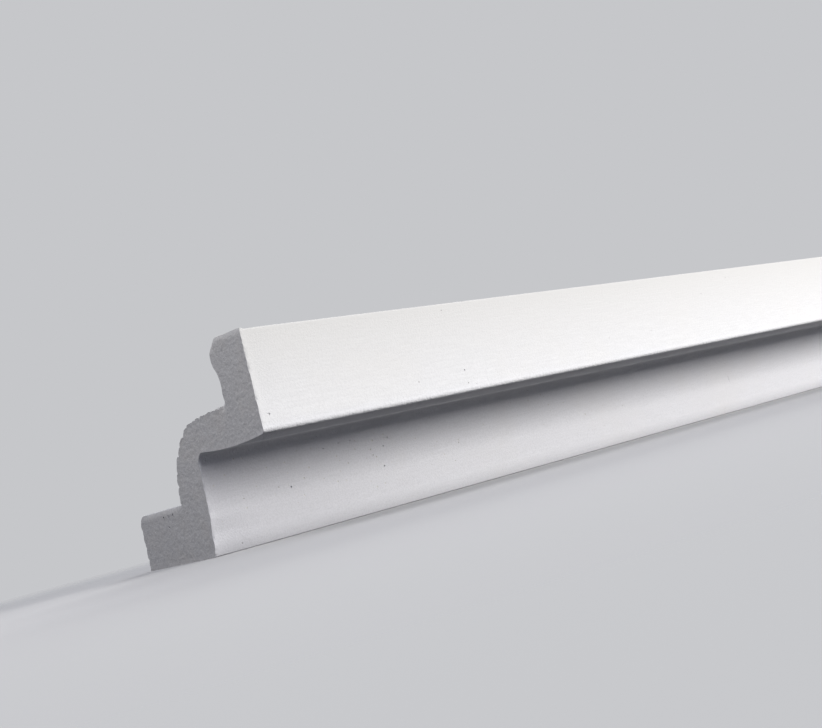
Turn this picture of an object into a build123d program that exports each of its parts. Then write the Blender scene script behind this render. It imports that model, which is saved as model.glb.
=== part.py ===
"""Plaster cornice moulding, one straight cast length with two sawn ends.

Frame: X along the length, Z up, -Y out of the tall face of the upper block.
The origin is the middle of the box, on the floor. The moulding stands on its
wide bed. All sizes are in millimetres.
"""
import math
import os

from build123d import *

# Length that the moulding is sold in, and the size of its section
LENGTH = 2000.0
WIDTH = 170.0
HEIGHT = 100.0

# Foot: the wide flat bed below, and the ledge on top, which rises from the ovolo to the back
BED_WIDTH = 91.8
FOOT_HEIGHT = 30.4
LEDGE_WIDTH = 62.8
LEDGE_RISE = 1.1
FOOT_CORNER_RADIUS = 6.5

# Ovolo: a quarter round that rises from the ledge and ends level with the web
OVOLO_RADIUS = 38.3

# Relief behind the web: a drafted face and a slightly swollen underside that meet in a fillet
WEB_THICKNESS = 20.2
UNDERSIDE_RISE = 4.0
UNDERSIDE_BELLY = 1.9
FACE_DRAFT = 3.0
RELIEF_FILLET = 5.5

# Where the drafted face turns in to the bed along a worn, rounded edge
EDGE_TURN_WIDTH = 2.2
EDGE_TURN_HEIGHT = 8.0

# Upper block: the tall narrow bed in front, a hollow that runs into a nose at the back
BLOCK_WIDTH = 35.0
TOP_FALL = 3.8
NOSE_CUT = 0.3
HOLLOW_DEPTH = 4.5

# Radii of the nose and the hollow as shares of the block's height over the web
NOSE_SHARE = 0.304
HOLLOW_SHARE = 0.415

# Rounding that the mould leaves on the outer edges
BED_ARRIS = 0.8
UNDERSIDE_ARRIS = 2.2
TOP_ARRIS = 0.8


def at(depth, height):
    """Point of the section, its depth measured from the back of the foot."""
    return (WIDTH / 2 - depth, height)


# Heights that follow from the sizes above
web_top = FOOT_HEIGHT + OVOLO_RADIUS
underside = web_top - WEB_THICKNESS
block_height = HEIGHT - web_top

# Drafted face of the relief, carried on down to the bed, and its depth where the edge turns in
face_foot = BED_WIDTH + EDGE_TURN_WIDTH
face_top = face_foot + FACE_DRAFT
relief_height = underside + UNDERSIDE_RISE
turn_start = face_foot + FACE_DRAFT * EDGE_TURN_HEIGHT / relief_height

# Circles of the nose and the hollow, which meet without a corner
nose_radius = NOSE_SHARE * block_height
hollow_radius = HOLLOW_SHARE * block_height
nose_depth = WIDTH - BLOCK_WIDTH + nose_radius
nose_height = HEIGHT - nose_radius + NOSE_CUT
hollow_depth = WIDTH - BLOCK_WIDTH + HOLLOW_DEPTH - hollow_radius
reach = nose_radius + hollow_radius
hollow_height = nose_height - math.sqrt(reach ** 2 - (nose_depth - hollow_depth) ** 2)
join_depth = nose_depth + (hollow_depth - nose_depth) * nose_radius / reach
join_height = nose_height + (hollow_height - nose_height) * nose_radius / reach

# Where the nose reaches the top, and where the hollow reaches the web
nose_top = nose_depth - math.sqrt(nose_radius ** 2 - (HEIGHT - nose_height) ** 2)
hollow_foot = hollow_depth + math.sqrt(hollow_radius ** 2 - (hollow_height - web_top) ** 2)

# Corners of the section, counted from the bed round the front, the top and the back
bed_back = at(0, 0)
bed_front = at(BED_WIDTH, 0)
edge_top = at(turn_start, EDGE_TURN_HEIGHT)
relief_corner = at(face_top, relief_height)
underside_middle = at((face_top + WIDTH) / 2, underside + UNDERSIDE_RISE / 2 - UNDERSIDE_BELLY)
underside_front = at(WIDTH, underside)
top_front = at(WIDTH, HEIGHT - TOP_FALL)
top_back = at(nose_top, HEIGHT)
nose_back = at(nose_depth - nose_radius, nose_height)
nose_end = at(join_depth, join_height)
hollow_deepest = at(hollow_depth + hollow_radius, hollow_height)
hollow_end = at(hollow_foot, web_top)
ovolo_end = at(LEDGE_WIDTH + OVOLO_RADIUS, web_top)
ovolo_inset = OVOLO_RADIUS * (1 - math.sqrt(0.5))
ovolo_middle = at(LEDGE_WIDTH + ovolo_inset, web_top - ovolo_inset)
ledge_front = at(LEDGE_WIDTH, FOOT_HEIGHT)
ledge_back = at(0, FOOT_HEIGHT + LEDGE_RISE)

roundings = [
    (bed_back, BED_ARRIS),
    (bed_front, BED_ARRIS),
    (relief_corner, RELIEF_FILLET),
    (underside_front, UNDERSIDE_ARRIS),
    (top_front, TOP_ARRIS),
    (top_back, TOP_ARRIS),
    (ledge_back, FOOT_CORNER_RADIUS),
]

with BuildPart() as cornice:
    with BuildSketch(Plane.YZ) as section:
        with BuildLine():
            Line(bed_back, bed_front)
            face = Line(edge_top, relief_corner)
            TangentArc(edge_top, bed_front, tangent=-(face % 0))
            ThreePointArc(relief_corner, underside_middle, underside_front)
            Polyline(underside_front, top_front, top_back)
            ThreePointArc(top_back, nose_back, nose_end)
            ThreePointArc(nose_end, hollow_deepest, hollow_end)
            Line(hollow_end, ovolo_end)
            ThreePointArc(ovolo_end, ovolo_middle, ledge_front)
            Polyline(ledge_front, ledge_back, bed_back)
        make_face()
        for corner, radius in roundings:
            fillet(section.vertices().sort_by_distance((*corner, 0))[0], radius)
    # The two ends are plain saw cuts, square to the length
    extrude(amount=LENGTH / 2, both=True)

cornice.part.label = "cornice"
os.makedirs("parts", exist_ok=True)
export_step(cornice.part, "parts/cornice.step")
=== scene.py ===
"""Looks of the plaster cornice moulding, one straight cast length with two sawn ends.

X runs along the length, Z is up, and -Y is the way that the upper block's tall bed faces.
A point of the section is given by its depth from the back of the foot and its height, in millimetres.
"""

import math

import bmesh
import bpy
import numpy as np
from mathutils import Matrix, Vector
from mathutils.geometry import delaunay_2d_cdt


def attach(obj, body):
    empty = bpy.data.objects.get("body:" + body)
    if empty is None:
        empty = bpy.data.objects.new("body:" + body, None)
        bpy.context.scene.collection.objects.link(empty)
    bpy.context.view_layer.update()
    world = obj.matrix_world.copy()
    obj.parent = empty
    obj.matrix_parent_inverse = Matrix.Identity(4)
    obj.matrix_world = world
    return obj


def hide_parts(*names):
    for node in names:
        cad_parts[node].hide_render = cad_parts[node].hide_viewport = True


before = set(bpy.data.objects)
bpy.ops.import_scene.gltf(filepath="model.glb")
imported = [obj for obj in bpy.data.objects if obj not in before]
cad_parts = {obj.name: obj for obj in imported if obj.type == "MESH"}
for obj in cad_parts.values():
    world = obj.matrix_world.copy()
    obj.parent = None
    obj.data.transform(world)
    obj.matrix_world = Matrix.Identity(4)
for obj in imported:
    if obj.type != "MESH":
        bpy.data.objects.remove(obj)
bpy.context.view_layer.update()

MM = 0.001

# Section sizes, the same as the solid's
LENGTH = 2000.0
WIDTH = 170.0
HEIGHT = 100.0
BED_WIDTH = 91.8
FOOT_HEIGHT = 30.4
LEDGE_WIDTH = 62.8
LEDGE_RISE = 1.1
FOOT_CORNER_RADIUS = 6.5
OVOLO_RADIUS = 38.3
WEB_THICKNESS = 20.2
UNDERSIDE_RISE = 4.0
UNDERSIDE_BELLY = 1.9
FACE_DRAFT = 3.0
RELIEF_FILLET = 5.5
EDGE_TURN_WIDTH = 2.2
EDGE_TURN_HEIGHT = 8.0
BLOCK_WIDTH = 35.0
TOP_FALL = 3.8
NOSE_CUT = 0.3
HOLLOW_DEPTH = 4.5
NOSE_SHARE = 0.304
HOLLOW_SHARE = 0.415
BED_ARRIS = 0.8
UNDERSIDE_ARRIS = 2.2
TOP_ARRIS = 0.8

# Heights and depths that follow from them
WEB_TOP = FOOT_HEIGHT + OVOLO_RADIUS
UNDERSIDE = WEB_TOP - WEB_THICKNESS
RELIEF_HEIGHT = UNDERSIDE + UNDERSIDE_RISE
FACE_FOOT = BED_WIDTH + EDGE_TURN_WIDTH
FACE_TOP = FACE_FOOT + FACE_DRAFT

# Spacing of the points round the section, close on arcs and where the saw has broken the edge
PLAIN_STEP = 2.0
FACE_STEP = 0.9
ROUGH_STEP = 0.6
ARRIS_STEP = 0.5
CLOSEST_POINTS = 0.05

# Rings along the length, crowded towards the two cuts by a power of the distance
RINGS = 101
END_CROWDING = 2.2

# Breakouts at the two cuts: depth and height of the bite, how deep it goes, how soon it fades
NEAR_NICKS = [
    (63.0, 33.0, 0.7, 0.8),
    (64.2, 39.6, 1.7, 1.0),
    (66.8, 46.5, 0.9, 0.9),
    (72.3, 55.4, 2.0, 1.1),
    (77.0, 60.3, 1.0, 0.8),
    (84.3, 64.8, 1.6, 1.0),
    (91.0, 67.3, 0.8, 0.8),
    (96.5, 68.4, 0.7, 0.7),
    (102.4, 68.7, 0.9, 0.9),
    (109.0, 68.7, 0.6, 0.7),
    (131.0, 68.7, 0.8, 4.0),
    (0.0, 12.8, 1.4, 1.0),
    (0.0, 6.5, 0.7, 0.8),
]
FAR_NICKS = [
    (63.6, 38.5, 1.2, 1.1),
    (69.0, 51.0, 1.5, 1.2),
    (90.0, 67.0, 1.2, 1.0),
    (118.0, 68.7, 0.9, 0.8),
    (0.0, 19.0, 1.2, 1.0),
]
CHIP_REACH = 2.0

# Crumbs along the cut edges: spacing and depth of the fine ones and of the slower wander
ARRIS_WEAR = 0.1
CRUMB_STEP = 1.4
CRUMB_DEPTH = 1.0
WANDER_STEP = 5.0
WANDER_DEPTH = 0.45
SMOOTH_SHARE = 0.3
CORNER_EASE = 2.5
CRUMB_POWER = 1.5

# Front faces at a cut: nibbles in the edge, then a lip left standing where the face behind it
# is rubbed down
NIBBLE_DEPTH = 1.0
NIBBLE_REACH = 0.85
LIP_DEPTH = 0.25
LIP_WIDTH = 2.0
LIP_FADE = 14.0

# Upper edges of a cut face, eased: how far they drop and lie back, the width that the easing takes,
# and the depth over which it comes in from the back of the foot
EASED_DROP = 0.4
EASED_BACK = 1.0
EASED_WIDTH = 3.0
EASED_COMES_IN = 10.0

# Which way an edge faces, as the upright or level part of its outward direction
FACING_LEAST = 0.3
FACING_SPAN = 0.4
FACING_DOWN = -0.5

# Torn edges: how far above the ledge they begin, and how deep the back of the foot counts as one
TORN_RISE = 3.0
TORN_BACK = 1.0

# Burr that the saw has left on the near top corner: its middle, its rise and its reach
BURR_DEPTH = 166.0
BURR_HEIGHT = 97.0
BURR_RISE = 1.1
BURR_REACH = 25.0

# Bed's front edge, rubbed further back over a short way behind the near cut
RUBBED_DEPTH = 1.5
RUBBED_HEIGHTS = (12.0, 19.0)
RUBBED_DEPTHS = (80.0, 91.0)
RUBBED_REACH = 28.0

# Grain that the saw tears out of a cut face; its scatter and its clearance from the edge count in steps
GRAIN_STEP = 1.3
GRAIN_DEPTH = 0.2
GRAIN_SCATTER = 0.3
GRAIN_CLEARANCE = 0.6

# Slight unevenness of the cast faces along the length
WAVE_DEPTH = 0.22
WAVE_LENGTH = 200.0

# Air pits in the cast faces, crowded in the relief near the first cut, and how far their balls sink in
PITS_PER_SQUARE_METRE = 14000.0
CLEAR_SHARE = 0.004
PITTED_HEIGHTS = (8.0, 24.0)
PITTED_LENGTH = 380.0
PIT_SPACING = 2.4
PIT_SINK = 0.6
SMALLEST_PIT = 0.36
LARGEST_PIT = 0.85
LARGE_PIT_RARITY = 2.5

# Air holes, a flake and a faint crack: x, depth and height of each one's middle, then half its
# three sizes
MARKS = [
    (-995.6, 169.6, 56.3, 0.8, 0.6, 0.6),
    (-879.0, 169.7, 60.0, 0.5, 0.5, 0.5),
    (-952.0, 95.0, 25.0, 0.7, 0.7, 0.8),
    (-928.0, 95.9, 41.0, 0.6, 0.6, 0.6),
    (-918.0, 96.1, 42.0, 0.5, 0.5, 0.5),
    (-910.0, 96.0, 42.0, 0.6, 0.6, 0.6),
    (-889.0, 95.7, 35.0, 0.5, 0.5, 0.5),
    (-885.0, 95.9, 39.0, 0.5, 0.5, 0.5),
    (-891.0, 95.0, 24.0, 0.6, 0.6, 0.6),
    (-997.0, 94.6, 13.9, 1.5, 0.4, 2.2),
    (-557.0, 95.3, 25.0, 0.9, 0.25, 9.0),
    (-999.0, 35.7, 26.5, 1.5, 1.6, 1.2),
    (-999.2, 43.0, 26.6, 1.2, 1.1, 0.9),
    (-999.0, 48.7, 26.7, 1.5, 1.5, 1.1),
    (-999.3, 40.5, 20.8, 1.1, 1.0, 0.8),
    (-999.4, 20.0, 21.0, 1.0, 0.9, 0.7),
    (999.4, 20.0, 9.0, 0.9, 1.0, 0.9),
    (999.5, 81.0, 33.0, 0.8, 1.1, 0.8),
    (999.4, 150.0, 84.0, 0.9, 0.9, 1.0),
]

# Points of the ends and the long faces closer than this are joined; edges sharper than this stay sharp
WELD_GAP = 0.02
SHARP_ANGLE = 40.0

# Seeds of the random draws
NEAR_BITE_SEED = 11
FAR_BITE_SEED = 12
NIBBLE_SEED = 13
NEAR_GRAIN_SEED = 21
FAR_GRAIN_SEED = 22
WAVE_SEED = 4.0
PIT_SEED = 7


def linear(code):
    """An sRGB hex colour as linear red, green, blue and alpha."""
    parts = [int(code[i:i + 2], 16) / 255 for i in (1, 3, 5)]
    return [p / 12.92 if p <= 0.04045 else ((p + 0.055) / 1.055) ** 2.4 for p in parts] + [1.0]


def add(tree, kind, settings=None, feeds=None):
    """Adds one node with its settings, and feeds its sockets from values or from other nodes."""
    node = tree.nodes.new(kind)
    for name, value in (settings or {}).items():
        setattr(node, name, value)
    for key, value in (feeds or {}).items():
        if isinstance(value, bpy.types.Node):
            value = next(out for out in value.outputs if out.enabled)
        if isinstance(value, bpy.types.NodeSocket):
            tree.links.new(value, node.inputs[key])
        else:
            node.inputs[key].default_value = value
    return node


# Section outline

def straight(start, end, step, sag=0.0):
    """Points from start up to, and not with, end, on a line that may sag halfway."""
    count = max(1, round(math.dist(start, end) / step))
    shares = [i / count for i in range(count)]
    return [(start[0] + (end[0] - start[0]) * s,
             start[1] + (end[1] - start[1]) * s - 4 * sag * s * (1 - s)) for s in shares]


def arc(centre, radius, start, end, step):
    """Points from the start angle to the end angle, in degrees."""
    count = max(3, round(abs(math.radians(end - start)) * radius / step))
    turns = [math.radians(start + (end - start) * i / count) for i in range(count + 1)]
    return [(centre[0] + radius * math.cos(t), centre[1] + radius * math.sin(t)) for t in turns]


def rounded(before, corner, after, radius, step):
    """Points of the arc that rounds a corner of the outline."""
    here = Vector(corner)
    back = (Vector(before) - here).normalized()
    on = (Vector(after) - here).normalized()
    half = back.angle(on) / 2
    centre = here + (back + on).normalized() * (radius / math.sin(half))
    first = here + back * (radius / math.tan(half)) - centre
    last = here + on * (radius / math.tan(half)) - centre
    start = math.degrees(math.atan2(first.y, first.x))
    sweep = math.degrees(math.atan2(first.x * last.y - first.y * last.x, first.dot(last)))
    return arc(centre, radius, start, start + sweep, step)


def bed_edge(bed_front, edge_top, relief):
    """Centre, radius and angles of the arc from the bed's front edge up into the drafted face."""
    along = (Vector(relief) - Vector(edge_top)).normalized()
    inward = Vector((-along.y, along.x))
    chord = Vector(bed_front) - Vector(edge_top)
    radius = chord.length_squared / (2 * chord.dot(inward))
    centre = Vector(edge_top) + inward * radius
    start, end = [math.degrees(math.atan2(p[1] - centre.y, p[0] - centre.x))
                  for p in (bed_front, edge_top)]
    return centre, radius, start, end


def nose_and_hollow():
    """Centre, radius and angles of the nose's arc and of the hollow's, which meet without a corner."""
    block_height = HEIGHT - WEB_TOP
    nose_radius = NOSE_SHARE * block_height
    hollow_radius = HOLLOW_SHARE * block_height
    nose = (WIDTH - BLOCK_WIDTH + nose_radius, HEIGHT - nose_radius + NOSE_CUT)
    hollow_in = WIDTH - BLOCK_WIDTH + HOLLOW_DEPTH - hollow_radius
    reach = nose_radius + hollow_radius
    hollow = (hollow_in, nose[1] - math.sqrt(reach ** 2 - (nose[0] - hollow_in) ** 2))
    nose_start = 180 - math.degrees(math.asin((HEIGHT - nose[1]) / nose_radius))
    meeting = 180 + math.degrees(math.atan2(nose[1] - hollow[1], nose[0] - hollow[0]))
    hollow_end = -math.degrees(math.asin((hollow[1] - WEB_TOP) / hollow_radius))
    return (nose, nose_radius, nose_start, meeting), (hollow, hollow_radius, meeting - 180, hollow_end)


def tangent_from(point, angle):
    """A point a little way on along a circle's tangent, the way that its angle grows."""
    turn = math.radians(angle)
    return (point[0] - math.sin(turn), point[1] + math.cos(turn))


def section_outline():
    """Depth and height of the points round the section: ledge, bed, front, top and back."""
    bed_back = (0.0, 0.0)
    bed_front = (BED_WIDTH, 0.0)
    edge_top = (FACE_FOOT + FACE_DRAFT * EDGE_TURN_HEIGHT / RELIEF_HEIGHT, EDGE_TURN_HEIGHT)
    relief = (FACE_TOP, RELIEF_HEIGHT)
    underside_front = (WIDTH, UNDERSIDE)
    sag_front = (WIDTH, UNDERSIDE - 4 * UNDERSIDE_BELLY)
    sag_back = (FACE_TOP, RELIEF_HEIGHT - 4 * UNDERSIDE_BELLY)
    top_front = (WIDTH, HEIGHT - TOP_FALL)
    ovolo_centre = (LEDGE_WIDTH + OVOLO_RADIUS, FOOT_HEIGHT)
    ledge_front = (LEDGE_WIDTH, FOOT_HEIGHT)
    ledge_back = (0.0, FOOT_HEIGHT + LEDGE_RISE)
    edge = bed_edge(bed_front, edge_top, relief)
    nose, hollow = nose_and_hollow()
    nose_top = arc(*nose, ROUGH_STEP)[0]
    edge_on = tangent_from(bed_front, edge[2])
    nose_on = tangent_from(nose_top, nose[2])

    # Each bend, with the spacing of the run that leads to it and how far that run sags
    bends = [
        (rounded(ledge_front, ledge_back, bed_back, FOOT_CORNER_RADIUS, ROUGH_STEP), PLAIN_STEP, 0),
        (rounded(ledge_back, bed_back, bed_front, BED_ARRIS, ARRIS_STEP), ROUGH_STEP, 0),
        (rounded(bed_back, bed_front, edge_on, BED_ARRIS, ARRIS_STEP), FACE_STEP, 0),
        (arc(*edge, ROUGH_STEP)[1:], ROUGH_STEP, 0),
        (rounded(edge_top, relief, sag_front, RELIEF_FILLET, FACE_STEP), FACE_STEP, 0),
        (rounded(sag_back, underside_front, top_front, UNDERSIDE_ARRIS, ARRIS_STEP), PLAIN_STEP,
         UNDERSIDE_BELLY),
        (rounded(underside_front, top_front, nose_top, TOP_ARRIS, ARRIS_STEP), FACE_STEP, 0),
        (rounded(top_front, nose_top, nose_on, TOP_ARRIS, ARRIS_STEP), PLAIN_STEP, 0),
        (arc(*nose, FACE_STEP)[1:], FACE_STEP, 0),
        (arc(*hollow, FACE_STEP), FACE_STEP, 0),
        (arc(ovolo_centre, OVOLO_RADIUS, 90, 180, ROUGH_STEP), ROUGH_STEP, 0),
    ]
    points = [ledge_front]
    for bend, step, belly in bends:
        share = (bend[0][0] - points[-1][0]) / (WIDTH - FACE_TOP)
        points += straight(points[-1], bend[0], step, belly * share ** 2)[1:] + bend
    following = points[1:] + points[:1]
    return np.array([p for p, q in zip(points, following) if math.dist(p, q) > CLOSEST_POINTS])


def running_length(points):
    """How far round the outline each point lies, and the whole way round."""
    run = np.concatenate([[0], np.cumsum(np.linalg.norm(np.diff(points, axis=0), axis=1))])
    return run, run[-1] + math.dist(points[-1], points[0])


def apart(run, place, total):
    """Distance round the outline from a place on it, the shorter way."""
    return np.abs((run - place + total / 2) % total - total / 2)


def outward(points):
    """Unit vectors that point out of the section, eased round its corners so that bites don't cross."""
    along = np.roll(points, -1, 0) - np.roll(points, 1, 0)
    along /= np.linalg.norm(along, axis=1)[:, None]
    run, total = running_length(points)
    share = np.exp(-(apart(run[:, None], run[None, :], total) / CORNER_EASE) ** 2)
    eased = share @ np.column_stack([along[:, 1], -along[:, 0]])
    return eased / np.linalg.norm(eased, axis=1)[:, None]


def edge_shares(points):
    """How far each point belongs to the front faces, to the eased upper edges and to the torn edges."""
    facing = outward(points)
    behind_block = points[:, 0] < WIDTH - BLOCK_WIDTH
    torn = (points[:, 1] > FOOT_HEIGHT + TORN_RISE) & behind_block | (points[:, 0] < TORN_BACK)
    front, upper = np.clip((facing.T - FACING_LEAST) / FACING_SPAN, 0, 1)
    eased = np.where(torn, 0, upper * np.clip(points[:, 0] / EASED_COMES_IN, 0, 1))
    below = facing[:, 1] < FACING_DOWN
    return front, eased, np.where(torn, 1.0, SMOOTH_SHARE) * (1 - front) * ~below


def crumbled(points, draw, step):
    """A random share from 0 to 1 for each point, mostly small, that changes over a step."""
    run, total = running_length(points)
    crumbs = draw.random(round(total / step))
    return np.interp(run, np.arange(len(crumbs)) * step, crumbs, period=total) ** CRUMB_POWER


def bites(points, nicks, seed):
    """How far the saw has broken each point of a cut edge back, as moves across the section."""
    draw = np.random.default_rng(seed)
    run, total = running_length(points)
    _, eased, rough = edge_shares(points)
    depth = ARRIS_WEAR * (rough > 0) + EASED_DROP * eased
    depth += CRUMB_DEPTH * rough ** 2 * crumbled(points, draw, CRUMB_STEP)
    depth += WANDER_DEPTH * rough * crumbled(points, draw, WANDER_STEP)
    for place_in, place_up, bite, fade in nicks:
        centre = run[np.argmin(np.hypot(points[:, 0] - place_in, points[:, 1] - place_up))]
        depth += bite * np.exp(-apart(run, centre, total) / fade)
    return -outward(points) * depth[:, None]


def nibbles(points, seed):
    """Small bites in the cut edge of the front faces."""
    draw = np.random.default_rng(seed)
    front = edge_shares(points)[0]
    return -outward(points) * (NIBBLE_DEPTH * front * crumbled(points, draw, CRUMB_STEP))[:, None]


def burr(points):
    """Moves that raise the burr on the near top corner."""
    away = np.hypot(points[:, 0] - BURR_DEPTH, points[:, 1] - BURR_HEIGHT)
    rise = BURR_RISE * np.clip(1 - away / BURR_REACH, 0, 1)
    return np.column_stack([np.zeros(len(points)), rise])


def rubbed_edge(points):
    """Moves that rub the bed's front edge back."""
    low = np.interp(points[:, 1], RUBBED_HEIGHTS, (1, 0))
    share = low * np.interp(points[:, 0], RUBBED_DEPTHS, (0, 1))
    return np.column_stack([-RUBBED_DEPTH * share, np.zeros(len(points))])


def pitted_share(points):
    """How thickly the air pits lie: all of them in the relief's upright face, a few elsewhere."""
    relief = (points[:, 0] > BED_WIDTH) & (points[:, 0] < FACE_TOP) & (points[:, 1] < RELIEF_HEIGHT)
    return np.where(relief, np.interp(points[:, 1], PITTED_HEIGHTS, (CLEAR_SHARE, 1)), CLEAR_SHARE)


# Cut faces

def inside(points, edge):
    """Which points lie within the outline, and how far each is from it."""
    start, end = edge, np.roll(edge, -1, 0)
    x, y = points[:, :1], points[:, 1:]
    spans = (start[:, 1] > y) != (end[:, 1] > y)
    rise = np.where(end[:, 1] == start[:, 1], 1, end[:, 1] - start[:, 1])
    crossing = start[:, 0] + (y - start[:, 1]) / rise * (end[:, 0] - start[:, 0])
    within = (spans & (x < crossing)).sum(1) % 2 == 1
    gap = np.hypot(x - start[:, 0], y - start[:, 1]).min(1)
    return within, gap


def cut_face(edge, back, side, seed):
    """Points and triangles across one sawn end, with eased edges and the grain that the saw tore out."""
    draw = np.random.default_rng(seed)
    across = np.arange(0, WIDTH, GRAIN_STEP)
    up = np.arange(0, HEIGHT, GRAIN_STEP * math.sqrt(0.75))
    grid = np.array([(a + (row % 2) * GRAIN_STEP / 2, u) for row, u in enumerate(up) for a in across])
    grid += draw.uniform(-GRAIN_SCATTER, GRAIN_SCATTER, grid.shape) * GRAIN_STEP
    within, gap = inside(grid, edge)
    grains = grid[within & (gap > GRAIN_CLEARANCE * GRAIN_STEP)]
    torn = draw.uniform(0, GRAIN_DEPTH, len(grains))
    eased = edge[back > EASED_BACK / 2]
    away = np.hypot(grains[:, :1] - eased[:, 0], grains[:, 1:] - eased[:, 1]).min(1)
    torn += EASED_BACK * np.clip(1 - away / EASED_WIDTH, 0, 1) ** 2
    flat = [Vector(p) for p in np.vstack([edge, grains])]
    rim = [(i, (i + 1) % len(edge)) for i in range(len(edge))]
    placed, _, triangles, sources, _, _ = delaunay_2d_cdt(flat, rim, [], 1, 1e-6)
    depth = np.concatenate([back, torn])
    sunk = np.array([depth[source[0]] for source in sources])
    placed = np.array(placed)
    points = np.column_stack([side * (LENGTH / 2 - sunk), WIDTH / 2 - placed[:, 0], placed[:, 1]]) * MM
    return points, [tuple(t) for t in triangles]


# Sweep of the section along the length

def new_tree(name, sizes, result):
    """A Geometry Nodes tree with named inputs, its given values, and its inputs' identifiers by name."""
    tree = bpy.data.node_groups.new(name, "GeometryNodeTree")
    names = {}
    for size, kind in sizes:
        names[size] = tree.interface.new_socket(size, in_out="INPUT", socket_type=kind).identifier
    tree.interface.new_socket(result, in_out="OUTPUT", socket_type="NodeSocketGeometry")
    return tree, add(tree, "NodeGroupInput").outputs, names


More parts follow.
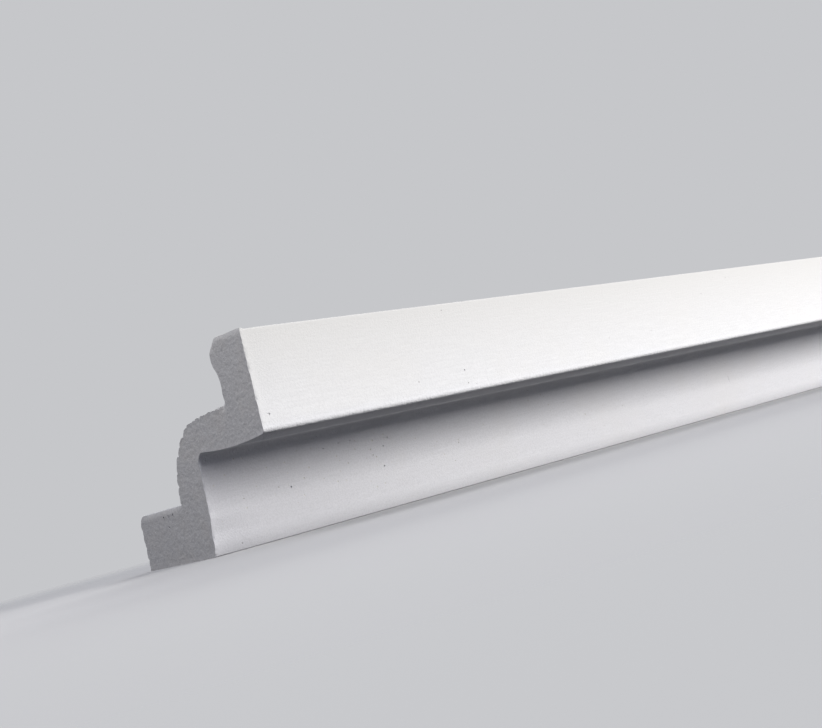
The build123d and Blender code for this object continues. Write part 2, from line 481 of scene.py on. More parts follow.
def sweep_tree():
    """Runs the section along the length, breaks its two cut edges and lets its faces wander a little."""
    tree, given, names = new_tree("sweep of the section", [
        ("Section", "NodeSocketGeometry"),
        ("Length", "NodeSocketFloat"),
        ("Rings", "NodeSocketInt"),
        ("End crowding", "NodeSocketFloat"),
        ("Chip reach", "NodeSocketFloat"),
        ("Rubbed reach", "NodeSocketFloat"),
        ("Nibble reach", "NodeSocketFloat"),
        ("Lip width", "NodeSocketFloat"),
        ("Lip fade", "NodeSocketFloat"),
        ("Wave depth", "NodeSocketFloat"),
        ("Wave length", "NodeSocketFloat"),
        ("Seed", "NodeSocketFloat"),
        ("Finish", "NodeSocketMaterial"),
    ], "Moulding")

    # Rings stand from -1 to 1, and are then spread over the length
    far = add(tree, "ShaderNodeMath", {"operation": "MULTIPLY"}, {0: given["Length"], 1: 0.5})
    near = add(tree, "ShaderNodeMath", {"operation": "MULTIPLY"}, {0: given["Length"], 1: -0.5})
    line = add(tree, "GeometryNodeMeshLine", {"mode": "END_POINTS"}, {
        "Count": given["Rings"], "Start Location": (-1, 0, 0), "Offset": (1, 0, 0)})
    ring = add(tree, "GeometryNodeInputPosition")
    share = add(tree, "ShaderNodeSeparateXYZ", None, {0: ring}).outputs["X"]
    size = add(tree, "ShaderNodeMath", {"operation": "ABSOLUTE"}, {0: share})
    inset = add(tree, "ShaderNodeMath", {"operation": "SUBTRACT"}, {0: 1.0, 1: size})
    crowd = add(tree, "ShaderNodeMath", {"operation": "POWER"}, {0: inset, 1: given["End crowding"]})
    spread = add(tree, "ShaderNodeMath", {"operation": "SUBTRACT"}, {0: 1.0, 1: crowd})
    side = add(tree, "ShaderNodeMath", {"operation": "SIGN"}, {0: share})
    signed = add(tree, "ShaderNodeMath", {"operation": "MULTIPLY"}, {0: spread, 1: side})
    along = add(tree, "ShaderNodeMath", {"operation": "MULTIPLY"}, {0: signed, 1: far})
    spaced = add(tree, "GeometryNodeSetPosition", None, {
        "Geometry": line, "Position": add(tree, "ShaderNodeCombineXYZ", None, {"X": along})})
    swept = add(tree, "GeometryNodeCurveToMesh", None, {
        "Curve": add(tree, "GeometryNodeMeshToCurve", None, {"Mesh": spaced}),
        "Profile Curve": add(tree, "GeometryNodeMeshToCurve", None, {"Mesh": given["Section"]})})

    # Each move fades out from its cut, and the wander dies away towards both cuts
    place = add(tree, "GeometryNodeInputPosition")
    x = add(tree, "ShaderNodeSeparateXYZ", None, {0: place}).outputs["X"]
    near_chip = add(tree, "ShaderNodeMath", {"operation": "ADD"}, {0: near, 1: given["Chip reach"]})
    far_chip = add(tree, "ShaderNodeMath", {"operation": "SUBTRACT"}, {0: far, 1: given["Chip reach"]})
    near_rub = add(tree, "ShaderNodeMath", {"operation": "ADD"}, {0: near, 1: given["Rubbed reach"]})
    reach = add(tree, "ShaderNodeMath", {"operation": "ABSOLUTE"}, {0: x})
    left = add(tree, "ShaderNodeMath", {"operation": "SUBTRACT"}, {0: far, 1: reach})
    often = add(tree, "ShaderNodeMath", {"operation": "DIVIDE"}, {0: 1.0, 1: given["Wave length"]})
    ripple = add(tree, "ShaderNodeTexNoise", {"noise_dimensions": "4D"}, {
        "Vector": place, "W": given["Seed"], "Detail": 1.0, "Scale": often})
    deep = add(tree, "ShaderNodeMath", {"operation": "MULTIPLY"}, {0: ripple, 1: given["Wave depth"]})
    calm = add(tree, "ShaderNodeMapRange", None, {"Value": left, "From Max": given["Wave length"]})
    wave = add(tree, "ShaderNodeMath", {"operation": "MULTIPLY"}, {0: deep, 1: calm})
    sunk = add(tree, "ShaderNodeMapRange", None, {"Value": left, "From Max": given["Lip width"]})
    level = add(tree, "ShaderNodeMapRange", {"interpolation_type": "SMOOTHSTEP"}, {
        "Value": left, "From Min": given["Lip width"], "From Max": given["Lip fade"],
        "To Min": 1.0, "To Max": 0.0})
    shares = {
        "nibble": add(tree, "ShaderNodeMapRange", None, {
            "Value": left, "From Max": given["Nibble reach"], "To Min": 1.0, "To Max": 0.0}),
        "lip": add(tree, "ShaderNodeMath", {"operation": "MULTIPLY"}, {0: sunk, 1: level}),
        "near_bite": add(tree, "ShaderNodeMapRange", None, {
            "Value": x, "From Min": near, "From Max": near_chip, "To Min": 1.0, "To Max": 0.0}),
        "far_bite": add(tree, "ShaderNodeMapRange", None, {
            "Value": x, "From Min": far, "From Max": far_chip, "To Min": 1.0, "To Max": 0.0}),
        "near_rub": add(tree, "ShaderNodeMapRange", {"interpolation_type": "SMOOTHSTEP"}, {
            "Value": x, "From Min": near, "From Max": near_rub, "To Min": 1.0, "To Max": 0.0}),
        "inward": wave,
    }
    moves = (0.0, 0.0, 0.0)
    for name, part in shares.items():
        move = add(tree, "GeometryNodeInputNamedAttribute", {"data_type": "FLOAT_VECTOR"}, {
            "Name": name})
        moves = add(tree, "ShaderNodeVectorMath", {"operation": "MULTIPLY_ADD"}, {
            0: move, 1: part, 2: moves})
    worn = add(tree, "GeometryNodeSetPosition", None, {"Geometry": swept, "Offset": moves})
    whole = add(tree, "GeometryNodeRealizeInstances", None, {"Geometry": worn})
    finished = add(tree, "GeometryNodeSetMaterial", None, {
        "Geometry": whole, "Material": given["Finish"]})
    add(tree, "NodeGroupOutput", None, {"Moulding": finished})
    return tree, names


def pit_tree():
    """Scatters the balls that cut the air pits into the cast faces."""
    tree, given, names = new_tree("air pits", [
        ("Faces", "NodeSocketGeometry"),
        ("Per square metre", "NodeSocketFloat"),
        ("Spacing", "NodeSocketFloat"),
        ("Smallest", "NodeSocketFloat"),
        ("Largest", "NodeSocketFloat"),
        ("Sink", "NodeSocketFloat"),
        ("First", "NodeSocketFloat"),
        ("Last", "NodeSocketFloat"),
        ("Seed", "NodeSocketInt"),
        ("Finish", "NodeSocketMaterial"),
    ], "Pits")
    place = add(tree, "GeometryNodeInputPosition")
    x = add(tree, "ShaderNodeSeparateXYZ", None, {0: place}).outputs["X"]
    crowd = add(tree, "ShaderNodeMapRange", None, {
        "Value": x, "From Min": given["First"], "From Max": given["Last"], "To Min": 1.0, "To Max": 0.0})
    share = add(tree, "GeometryNodeInputNamedAttribute", None, {"Name": "pitted"})
    spots = add(tree, "GeometryNodeDistributePointsOnFaces", {"distribute_method": "POISSON"}, {
        "Mesh": given["Faces"], "Distance Min": given["Spacing"],
        "Density Max": given["Per square metre"], "Seed": given["Seed"],
        "Density Factor": add(tree, "ShaderNodeMath", {"operation": "MULTIPLY"}, {0: crowd, 1: share})})
    luck = add(tree, "FunctionNodeRandomValue", {"data_type": "FLOAT"}, {"Seed": given["Seed"]})
    few = add(tree, "ShaderNodeMath", {"operation": "POWER"}, {0: luck, 1: LARGE_PIT_RARITY})
    size = add(tree, "ShaderNodeMapRange", None, {
        "Value": few, "To Min": given["Smallest"], "To Max": given["Largest"]})
    sink = add(tree, "ShaderNodeMath", {"operation": "MULTIPLY"}, {0: size, 1: given["Sink"]})
    back = add(tree, "ShaderNodeMath", {"operation": "MULTIPLY"}, {0: sink, 1: -1.0})
    inward = add(tree, "ShaderNodeVectorMath", {"operation": "SCALE"}, {
        0: spots.outputs["Normal"], "Scale": back})
    sunk = add(tree, "GeometryNodeSetPosition", None, {"Geometry": spots, "Offset": inward})
    ball = add(tree, "GeometryNodeMeshIcoSphere", None, {"Radius": 1.0, "Subdivisions": 2})
    balls = add(tree, "GeometryNodeInstanceOnPoints", None, {
        "Points": sunk, "Scale": size, "Instance": ball})
    whole = add(tree, "GeometryNodeRealizeInstances", None, {"Geometry": balls})
    finished = add(tree, "GeometryNodeSetMaterial", None, {
        "Geometry": whole, "Material": given["Finish"]})
    add(tree, "NodeGroupOutput", None, {"Pits": finished})
    return tree, names


def grown(mesh, tree, names, sizes):
    """The plain mesh that a tree makes from a mesh, with its sizes set by name."""
    seed = bpy.data.objects.new(mesh.name, mesh)
    bpy.context.scene.collection.objects.link(seed)
    modifier = seed.modifiers.new(tree.name, "NODES")
    modifier.node_group = tree
    for name, value in sizes.items():
        modifier[names[name]] = value
    result = bpy.data.meshes.new_from_object(seed.evaluated_get(bpy.context.evaluated_depsgraph_get()))
    bpy.data.objects.remove(seed)
    return result


def swept_walls(points, moves, finish):
    """Mesh of the moulding's long faces, open at its two ends."""
    flat = bpy.data.meshes.new("section")
    rim = [(i, (i + 1) % len(points)) for i in range(len(points))]
    flat.from_pydata([Vector((d - WIDTH / 2, -h, 0)) * MM for d, h in points], rim, [])
    for name, move in moves.items():
        moved = move * (1, -1, 1)
        flat.attributes.new(name, "FLOAT_VECTOR", "POINT").data.foreach_set("vector", moved.ravel())
    flat.attributes.new("pitted", "FLOAT", "POINT").data.foreach_set("value", pitted_share(points))
    return grown(flat, *sweep_tree(), {
        "Length": LENGTH * MM,
        "Rings": RINGS,
        "End crowding": END_CROWDING,
        "Chip reach": CHIP_REACH * MM,
        "Rubbed reach": RUBBED_REACH * MM,
        "Nibble reach": NIBBLE_REACH * MM,
        "Lip width": LIP_WIDTH * MM,
        "Lip fade": LIP_FADE * MM,
        "Wave depth": WAVE_DEPTH * MM,
        "Wave length": WAVE_LENGTH * MM,
        "Seed": WAVE_SEED,
        "Finish": finish,
    })


def pit_balls(walls, finish):
    """Mesh of the balls that cut the scattered air pits, and of those that cut the marks."""
    shape = bmesh.new()
    shape.from_mesh(grown(walls, *pit_tree(), {
        "Per square metre": PITS_PER_SQUARE_METRE,
        "Spacing": PIT_SPACING * MM,
        "Smallest": SMALLEST_PIT * MM,
        "Largest": LARGEST_PIT * MM,
        "Sink": PIT_SINK,
        "First": -LENGTH / 2 * MM,
        "Last": (PITTED_LENGTH - LENGTH / 2) * MM,
        "Seed": PIT_SEED,
        "Finish": finish,
    }))
    for x, depth, height, *half_sizes in MARKS:
        place = Matrix.Translation(Vector((x, WIDTH / 2 - depth, height)) * MM)
        size = Matrix.Diagonal((*half_sizes, 1.0))
        bmesh.ops.create_icosphere(shape, subdivisions=2, radius=MM, matrix=place @ size)
    balls = bpy.data.meshes.new("air pits")
    shape.to_mesh(balls)
    shape.free()
    balls.materials.append(finish)
    return balls


def closed_moulding(walls, ends):
    """One closed mesh of the long faces and the two cut faces."""
    shape = bmesh.new()
    shape.from_mesh(walls)
    for corners, triangles in ends:
        rim = [shape.verts.new(c) for c in corners]
        for triangle in triangles:
            shape.faces.new([rim[i] for i in triangle]).material_index = 1
    bmesh.ops.remove_doubles(shape, verts=shape.verts, dist=WELD_GAP * MM)
    bmesh.ops.recalc_face_normals(shape, faces=shape.faces)
    mesh = bpy.data.meshes.new("cornice_cast")
    shape.to_mesh(mesh)
    shape.free()
    return mesh


def applied(piece):
    """The piece's mesh as its modifiers leave it, with the modifiers taken off the piece."""
    mesh = bpy.data.meshes.new_from_object(piece.evaluated_get(bpy.context.evaluated_depsgraph_get()))
    piece.modifiers.clear()
    return mesh


def cornice(cast, sawn):
    """The whole moulding: swept faces, two sawn ends and the air pits cut into the cast skin."""
    points = section_outline()
    near = bites(points, NEAR_NICKS, NEAR_BITE_SEED) + burr(points)
    far = bites(points, FAR_NICKS, FAR_BITE_SEED)
    rub = rubbed_edge(points)
    nibble = nibbles(points, NIBBLE_SEED)
    front, eased, _ = edge_shares(points)
    back = EASED_BACK * eased
    level = np.zeros(len(points))
    walls = swept_walls(points, {
        "near_bite": np.column_stack([back, near]) * MM,
        "far_bite": np.column_stack([-back, far]) * MM,
        "near_rub": np.column_stack([level, rub]) * MM,
        "nibble": np.column_stack([level, nibble]) * MM,
        "lip": np.column_stack([level, -outward(points) * LIP_DEPTH * front[:, None]]) * MM,
        "inward": np.column_stack([level, -outward(points)]),
    }, cast)
    mesh = closed_moulding(walls, [
        cut_face(points + near + rub + nibble, back, -1, NEAR_GRAIN_SEED),
        cut_face(points + far + nibble, back, 1, FAR_GRAIN_SEED),
    ])
    mesh.materials.append(cast)
    mesh.materials.append(sawn)
    piece = bpy.data.objects.new("cornice_cast", mesh)
    balls = bpy.data.objects.new("air pits", pit_balls(walls, cast))
    for made in (piece, balls):
        bpy.context.scene.collection.objects.link(made)
    cutting = piece.modifiers.new("air pits", "BOOLEAN")
    cutting.object = balls
    cutting.operation = "DIFFERENCE"
    cutting.solver = "MANIFOLD"
    piece.data = applied(piece)
    bpy.data.objects.remove(balls)
    piece.data.shade_smooth()
    piece.data.set_sharp_from_angle(angle=math.radians(SHARP_ANGLE))
    evening = piece.modifiers.new("even shading", "WEIGHTED_NORMAL")
    evening.keep_sharp = True
    piece.data = applied(piece)
    piece.data.name = "cornice_cast"
    return piece


# Finishes

# Sockets of a Mix node's two colours
MIX_A = 6
MIX_B = 7

# Refraction of gypsum
GYPSUM_IOR = 1.52

# Patterns of the cast skin: drags, blotches, tooth, specks of air and chalky crumbs
DRAG_LENGTH = 12.0
DRAG_WIDTH = 1.1
BLOTCH_SIZE = 60.0
TOOTH_SIZE = 0.9
SPECK_SPACING = 2.6
SPECK_SHARE = 0.015
CHALK_SIZE = 1.8
CHALKY_REACH = 3.5

# Heights between which the relief's skin gives way to the tall bed's, and over which painted shade
# # greys the tall bed towards its top
SKIN_CHANGE = (44.0, 54.0)
TOP_SHADE_HEIGHTS = (52.0, 97.0)

# Painted shade by the near cut, on the relief and on the underside's front: how far it reaches along the
# # relief and along the underside, the depths where it comes in on the underside, and the depths where
# it
# # stops short of the tall bed
NEAR_CUT = -LENGTH / 2
NEAR_SHADE_REACH = 170.0
UNDERSIDE_SHADE_REACH = 400.0
UNDERSIDE_SHADE_DEPTHS = (135.0, 143.0)
UNSHADED_DEPTHS = (168.5, 169.5)

# Patterns of a sawn face: torn grain, patches, and the saw's strokes in depth, length and width
TORN_SIZE = 1.9
PATCH_SIZE = 14.0
SAW_STROKE = (5.0, 9.0, 2.6)
SAW_SLANT = 35.0


def new_finish(name):
    """A material's tree, and the place on the piece that its patterns read."""
    finish = bpy.data.materials.new(name)
    finish.use_nodes = True
    tree = finish.node_tree
    tree.nodes.clear()
    place = add(tree, "ShaderNodeTexCoord").outputs["Object"]
    return finish, tree, place


def cast_plaster():
    """Gypsum plaster cast in a smooth mould: matt white with a fine tooth, short faint drags along the
    length, specks of trapped air darkened with painted shade, soft warm blotches where it dried, painted
    shade that greys the tall bed towards its top, a painted cool shade tint on the relief, painted shade
    on the relief by the near cut and on the underside's front, and a chalky edge below the tall bed."""
    finish, tree, place = new_finish("cast gypsum plaster")
    drag = add(tree, "ShaderNodeMapping", None, {
        "Vector": place,
        "Scale": (1 / (DRAG_LENGTH * MM), 1 / (DRAG_WIDTH * MM), 1 / (DRAG_WIDTH * MM))})
    strokes = add(tree, "ShaderNodeTexNoise", None, {"Vector": drag, "Scale": 1.0, "Detail": 2.0})
    blotches = add(tree, "ShaderNodeTexNoise", None, {
        "Vector": place, "Scale": 1 / (BLOTCH_SIZE * MM), "Detail": 3.0, "Roughness": 0.6})
    tooth = add(tree, "ShaderNodeTexNoise", None, {
        "Vector": place, "Scale": 1 / (TOOTH_SIZE * MM), "Detail": 3.0, "Roughness": 0.75})
    cells = add(tree, "ShaderNodeTexVoronoi", None, {
        "Vector": place, "Scale": 1 / (SPECK_SPACING * MM)})
    along, across, height = add(tree, "ShaderNodeSeparateXYZ", None, {0: place}).outputs

    low_skin, high_skin = [h * MM for h in SKIN_CHANGE]
    bed_share = add(tree, "ShaderNodeMapRange", None, {
        "Value": height, "From Min": low_skin, "From Max": high_skin, "To Min": 0.6, "To Max": 1.0})
    streak = add(tree, "ShaderNodeMath", {"operation": "MULTIPLY"}, {
        0: strokes.outputs["Fac"], 1: bed_share})
    white = add(tree, "ShaderNodeMix", {"data_type": "RGBA"}, {
        0: streak, MIX_A: linear("#FDFDFD"), MIX_B: linear("#ECECEC")})
    crumbs = add(tree, "ShaderNodeMapRange", None, {
        "Value": tooth.outputs["Fac"], "From Min": 0.35, "From Max": 0.6, "To Min": 0.4, "To Max": 0.0})
    toothed = add(tree, "ShaderNodeMix", {"data_type": "RGBA"}, {
        0: crumbs, MIX_A: white, MIX_B: linear("#E0E0E0")})
    dried = add(tree, "ShaderNodeMapRange", None, {
        "Value": blotches.outputs["Fac"], "From Min": 0.5, "From Max": 0.75, "To Max": 0.35})
    warmed = add(tree, "ShaderNodeMix", {"data_type": "RGBA"}, {
        0: dried, MIX_A: toothed, MIX_B: linear("#F3F1EC")})
    # Painted shade: the tall bed greyer towards its top
    painted_top_shade = add(tree, "ShaderNodeMapRange", None, {
        "Value": height, "From Min": TOP_SHADE_HEIGHTS[0] * MM, "From Max": TOP_SHADE_HEIGHTS[1] * MM})
    top_shaded = add(tree, "ShaderNodeMix", {"data_type": "RGBA"}, {
        0: painted_top_shade, MIX_A: warmed, MIX_B: linear("#E3E2DF")})
    low = add(tree, "ShaderNodeMapRange", None, {
        "Value": height, "From Min": low_skin, "From Max": high_skin, "To Min": 1.0, "To Max": 0.0})
    before = add(tree, "ShaderNodeMath", {"operation": "LESS_THAN"}, {0: across, 1: 0.0})
    in_relief = add(tree, "ShaderNodeMath", {"operation": "MULTIPLY"}, {0: low, 1: before})
    # Painted shade tint: a faint cool cast over the relief's front faces, the colour of the shade they
    # lie in
    shade_tinted = add(tree, "ShaderNodeMix", {"data_type": "RGBA", "blend_type": "MULTIPLY"}, {
        0: in_relief, MIX_A: top_shaded, MIX_B: linear("#FCFCFF")})
    # Painted shade: the relief darker over the first stretch from the near cut
    near_cut_shade = add(tree, "ShaderNodeMapRange", {"interpolation_type": "SMOOTHSTEP"}, {
        "Value": along, "From Min": NEAR_CUT * MM, "From Max": (NEAR_CUT + NEAR_SHADE_REACH) * MM,
        "To Min": 1.0, "To Max": 0.0})
    painted_near_shade = add(tree, "ShaderNodeMath", {"operation": "MULTIPLY"}, {0: in_relief, 1: near_cut_shade})
    near_shaded = add(tree, "ShaderNodeMix", {"data_type": "RGBA", "blend_type": "MULTIPLY"}, {
        0: painted_near_shade, MIX_A: shade_tinted, MIX_B: linear("#F5F5F6")})
    # Painted shade: the front part of the underside greyed, fading out along the length from the near
    # cut
    depth = add(tree, "ShaderNodeMath", {"operation": "SUBTRACT"}, {0: WIDTH / 2 * MM, 1: across})
    in_front = add(tree, "ShaderNodeMapRange", {"interpolation_type": "SMOOTHSTEP"}, {
        "Value": depth, "From Min": UNDERSIDE_SHADE_DEPTHS[0] * MM, "From Max": UNDERSIDE_SHADE_DEPTHS[1] * MM})
    off_face = add(tree, "ShaderNodeMapRange", None, {
        "Value": depth, "From Min": UNSHADED_DEPTHS[0] * MM, "From Max": UNSHADED_DEPTHS[1] * MM,
        "To Min": 1.0, "To Max": 0.0})
    below = add(tree, "ShaderNodeMath", {"operation": "LESS_THAN"}, {0: height, 1: RELIEF_HEIGHT * MM})
    by_cut = add(tree, "ShaderNodeMapRange", None, {
        "Value": along, "From Min": NEAR_CUT * MM, "From Max": (NEAR_CUT + UNDERSIDE_SHADE_REACH) * MM,
        "To Min": 1.0, "To Max": 0.0})
    painted_underside_shade = in_front
    for share in (off_face, below, by_cut):
        painted_underside_shade = add(tree, "ShaderNodeMath", {"operation": "MULTIPLY"}, {0: painted_underside_shade, 1: share})
    underside_shaded = add(tree, "ShaderNodeMix", {"data_type": "RGBA"}, {
        0: painted_underside_shade, MIX_A: near_shaded, MIX_B: linear("#D0D0D3")})
    # Specks of trapped air; their darker colour is painted shade in the pits, and the bump below shapes
    # them
    spot = add(tree, "ShaderNodeMapRange", None, {
        "Value": cells.outputs["Distance"], "From Min": 0.06, "From Max": 0.16,
        "To Min": 1.0, "To Max": 0.0})
    chance = add(tree, "ShaderNodeSeparateColor", None, {0: cells.outputs["Color"]}).outputs["Red"]
    rare = add(tree, "ShaderNodeMath", {"operation": "LESS_THAN"}, {0: chance, 1: SPECK_SHARE})
    speck = add(tree, "ShaderNodeMath", {"operation": "MULTIPLY"}, {0: spot, 1: rare})
    pits_shaded = add(tree, "ShaderNodeMix", {"data_type": "RGBA"}, {
        0: speck, MIX_A: underside_shaded, MIX_B: linear("#C4C1BD")})

    fine = add(tree, "ShaderNodeBump", None, {
        "Strength": 0.55, "Distance": 0.3 * MM, "Height": tooth.outputs["Fac"]})
    dragged = add(tree, "ShaderNodeBump", None, {
        "Strength": 0.25, "Distance": 0.25 * MM, "Height": streak, "Normal": fine})
    pitted = add(tree, "ShaderNodeBump", {"invert": True}, {
        "Strength": 0.8, "Distance": 0.4 * MM, "Height": speck, "Normal": dragged})
    off_arris = add(tree, "ShaderNodeMath", {"operation": "SUBTRACT"}, {0: height, 1: UNDERSIDE * MM})
    from_arris = add(tree, "ShaderNodeMath", {"operation": "ABSOLUTE"}, {0: off_arris})
    near_arris = add(tree, "ShaderNodeMapRange", {"interpolation_type": "SMOOTHSTEP"}, {
        "Value": from_arris, "From Max": CHALKY_REACH * MM, "To Min": 1.0, "To Max": 0.0})
    chalk = add(tree, "ShaderNodeTexNoise", None, {
        "Vector": place, "Scale": 1 / (CHALK_SIZE * MM), "Detail": 2.0})
    chalky = add(tree, "ShaderNodeMath", {"operation": "MULTIPLY"}, {0: near_arris, 1: chalk})
    chalked = add(tree, "ShaderNodeBump", None, {
        "Strength": 0.6, "Distance": 1.2 * MM, "Height": chalky, "Normal": pitted})
    rough = add(tree, "ShaderNodeMapRange", None, {
        "Value": tooth.outputs["Fac"], "To Min": 0.72, "To Max": 0.88})
    shader = add(tree, "ShaderNodeBsdfPrincipled", None, {
        "Base Color": pits_shaded, "Roughness": rough, "IOR": GYPSUM_IOR, "Normal": chalked})
    add(tree, "ShaderNodeOutputMaterial", None, {"Surface": shader})
    return finish


def sawn_plaster():
    """Gypsum plaster as a saw leaves it: torn grain in pale and darker crumbs, dragged a little on the
    slant of the saw's stroke."""
    finish, tree, place = new_finish("sawn gypsum plaster")
    grain = add(tree, "ShaderNodeTexNoise", None, {
        "Vector": place, "Scale": 1 / (TORN_SIZE * MM), "Detail": 3.0, "Roughness": 0.65})
    slant = add(tree, "ShaderNodeMapping", None, {
        "Vector": place, "Rotation": (math.radians(SAW_SLANT), 0, 0),
        "Scale": [1 / (size * MM) for size in SAW_STROKE]})
    strokes = add(tree, "ShaderNodeTexNoise", None, {"Vector": slant, "Scale": 1.0, "Detail": 2.0})
    patches = add(tree, "ShaderNodeTexNoise", None, {
        "Vector": place, "Scale": 1 / (PATCH_SIZE * MM), "Detail": 2.0})
    crumbs = add(tree, "ShaderNodeMapRange", None, {
        "Value": grain.outputs["Fac"], "From Min": 0.3, "From Max": 0.7})
    pale = add(tree, "ShaderNodeMix", {"data_type": "RGBA"}, {
        0: crumbs, MIX_A: linear("#E0DFDE"), MIX_B: linear("#F4F3F1")})
    swept = add(tree, "ShaderNodeMapRange", None, {
        "Value": strokes.outputs["Fac"], "From Min": 0.4, "From Max": 0.7, "To Max": 0.5})
    stroked = add(tree, "ShaderNodeMix", {"data_type": "RGBA"}, {
        0: swept, MIX_A: pale, MIX_B: linear("#D9D8D7")})
    dried = add(tree, "ShaderNodeMapRange", None, {
        "Value": patches.outputs["Fac"], "From Min": 0.45, "From Max": 0.75, "To Max": 0.4})
    warmed = add(tree, "ShaderNodeMix", {"data_type": "RGBA"}, {
        0: dried, MIX_A: stroked, MIX_B: linear("#EEE9E2")})
    dragged = add(tree, "ShaderNodeBump", None, {
        "Strength": 0.4, "Distance": 0.6 * MM, "Height": strokes.outputs["Fac"]})
    torn = add(tree, "ShaderNodeBump", None, {
        "Strength": 0.5, "Distance": 1.0 * MM, "Height": grain.outputs["Fac"], "Normal": dragged})
    shader = add(tree, "ShaderNodeBsdfPrincipled", None, {
        "Base Color": warmed, "Roughness": 0.92, "IOR": GYPSUM_IOR, "Normal": torn})
    add(tree, "ShaderNodeOutputMaterial", None, {"Surface": shader})
    return finish


# Stage

BACKDROP = "#C6C7CA"

# Floor: half its side and the distances from the moulding over which it fades away, in metres, and
# how far it lies below the bed, in millimetres
FLOOR_REACH = 4.0
FLOOR_FADE = (0.12, 0.6)
FLOOR_DROP = 0.1

# Camera: focal length and picture width in pixels, its place, and the ways that it faces
FOCAL_PIXELS = 960.0
PICTURE_WIDTH = 822.0
CAMERA_PLACE = (-1.20095, -0.45895, 0.01259)
CAMERA_RIGHT = (0.78320, -0.56810, -0.25272)
CAMERA_UP = (0.13285, -0.24417, 0.96059)
CAMERA_AHEAD = (0.60741, 0.78591, 0.11576)


def seen_directly(tree):
    """1 where a ray shows the stage or its mirror image, 0 where it only carries bounced light."""
    path = add(tree, "ShaderNodeLightPath").outputs
    mirrored = add(tree, "ShaderNodeMath", {"operation": "MAXIMUM"}, {
        0: path["Is Glossy Ray"], 1: path["Is Transmission Ray"]})
    return add(tree, "ShaderNodeMath", {"operation": "MAXIMUM"}, {0: path["Is Camera Ray"], 1: mirrored})


def pale_floor():
    """A pale floor that keeps the shadow, bounces little light and fades into the backdrop."""
    finish, tree, place = new_finish("pale studio floor")
    shown = seen_directly(tree)
    matt = add(tree, "ShaderNodeBsdfDiffuse", None, {"Color": linear("#D4D4D4")})
    glow = add(tree, "ShaderNodeEmission", None, {"Color": linear(BACKDROP), "Strength": 0.12})
    pale = add(tree, "ShaderNodeAddShader", None, {0: matt, 1: glow})
    dull = add(tree, "ShaderNodeBsdfDiffuse", None, {"Color": linear("#5E5F63")})
    lit = add(tree, "ShaderNodeMixShader", None, {0: shown, 1: dull, 2: pale})
    along, across, _ = add(tree, "ShaderNodeSeparateXYZ", None, {0: place}).outputs
    reach = add(tree, "ShaderNodeMath", {"operation": "ABSOLUTE"}, {0: along})
    past = add(tree, "ShaderNodeMath", {"operation": "SUBTRACT"}, {0: reach, 1: LENGTH / 2 * MM})
    beyond = add(tree, "ShaderNodeMath", {"operation": "MAXIMUM"}, {0: past, 1: 0.0})
    gap = add(tree, "ShaderNodeCombineXYZ", None, {"X": beyond, "Y": across})
    far = add(tree, "ShaderNodeVectorMath", {"operation": "LENGTH"}, {0: gap}).outputs["Value"]
    fade = add(tree, "ShaderNodeMapRange", {"interpolation_type": "SMOOTHSTEP"}, {
        "Value": far, "From Min": FLOOR_FADE[0], "From Max": FLOOR_FADE[1]})
    gone = add(tree, "ShaderNodeMath", {"operation": "MULTIPLY"}, {0: fade, 1: shown})
    clear = add(tree, "ShaderNodeBsdfTransparent")
    shader = add(tree, "ShaderNodeMixShader", None, {0: gone, 1: lit, 2: clear})
    add(tree, "ShaderNodeOutputMaterial", None, {"Surface": shader})
    mesh = bpy.data.meshes.new("floor")
    corners = [(-1, -1), (1, -1), (1, 1), (-1, 1)]
    mesh.from_pydata([(x * FLOOR_REACH, y * FLOOR_REACH, -FLOOR_DROP * MM) for x, y in corners], [],
                     [(0, 1, 2, 3)])
    mesh.materials.append(finish)
    floor = bpy.data.objects.new("floor", mesh)
    bpy.context.scene.collection.objects.link(floor)


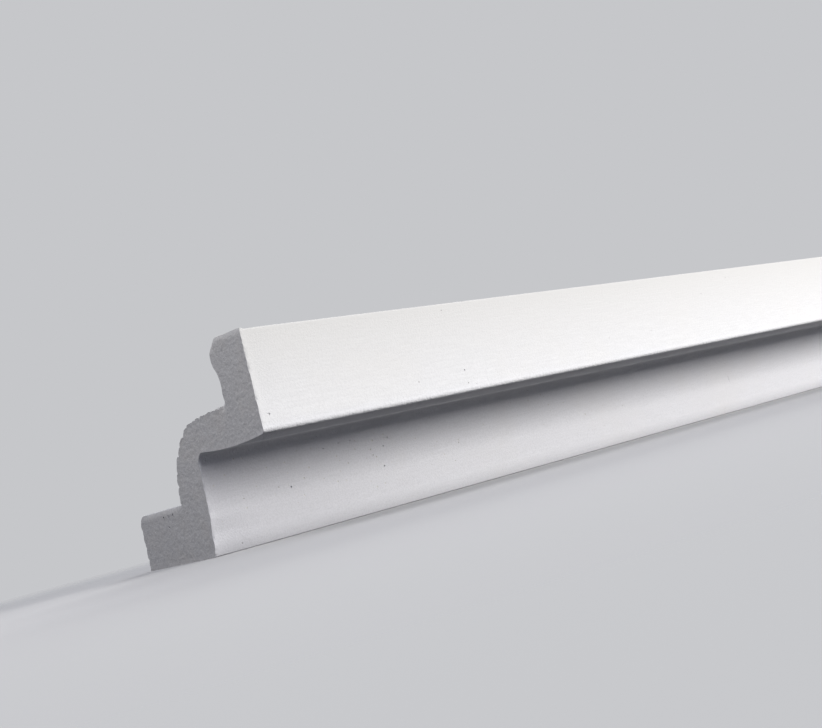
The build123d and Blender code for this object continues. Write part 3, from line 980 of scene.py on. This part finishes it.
def soft_world():
    """Even cool fill from all round, behind a pale backdrop."""
    world = bpy.data.worlds.new("studio")
    bpy.context.scene.world = world
    world.use_nodes = True
    tree = world.node_tree
    tree.nodes.clear()
    fill = add(tree, "ShaderNodeBackground", None, {"Color": linear("#E0E4FB"), "Strength": 0.25})
    backdrop = add(tree, "ShaderNodeBackground", None, {"Color": linear(BACKDROP), "Strength": 1.0})
    shader = add(tree, "ShaderNodeMixShader", None, {0: seen_directly(tree), 1: fill, 2: backdrop})
    add(tree, "ShaderNodeOutputWorld", None, {"Surface": shader})


def softbox(name, place, target, width, height, power, colour):
    """A plain rectangular softbox that faces a point."""
    lamp = bpy.data.lights.new(name, "AREA")
    lamp.shape = "RECTANGLE"
    lamp.size = width
    lamp.size_y = height
    lamp.energy = power
    lamp.color = linear(colour)[:3]
    holder = bpy.data.objects.new(name, lamp)
    holder.location = place
    holder.rotation_euler = (Vector(target) - Vector(place)).to_track_quat("-Z", "Y").to_euler()
    holder.visible_camera = False
    bpy.context.scene.collection.objects.link(holder)


def camera():
    """Camera low in front of the near cut, rolled as the picture is."""
    view = bpy.data.cameras.new("camera")
    view.sensor_fit = "HORIZONTAL"
    view.sensor_width = 36.0
    view.lens = view.sensor_width * FOCAL_PIXELS / PICTURE_WIDTH
    view.clip_start = 0.01
    holder = bpy.data.objects.new("camera", view)
    turn = Matrix((CAMERA_RIGHT, CAMERA_UP, -Vector(CAMERA_AHEAD))).transposed()
    holder.matrix_world = Matrix.Translation(CAMERA_PLACE) @ turn.to_4x4()
    bpy.context.scene.collection.objects.link(holder)
    bpy.context.scene.camera = holder


moulding = cornice(cast_plaster(), sawn_plaster())
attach(moulding, "root")
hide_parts("cornice")

pale_floor()
soft_world()

# Lamps: place, target, width, height, power and colour
softbox("key", (-0.1, -1.5, 0.34), (-0.75, -0.05, 0.05), 0.68, 0.5, 22.2, "#FFFDFB")
softbox("overhead", (-0.9, -0.9, 0.7), (-0.8, -0.05, 0.05), 0.7, 0.5, 2.36, "#FFFFFF")
softbox("end fill", (-1.35, -0.09, 0.5), (-0.98, -0.02, 0.05), 0.4, 0.4, 1.0, "#FFFDFB")
softbox("back fill", (1.6, 2.6, 1.6), (0.1, 0.05, 0.05), 1.6, 1.0, 70.0, "#FFFFFF")

camera()
bpy.context.scene.view_settings.view_transform = "Standard"
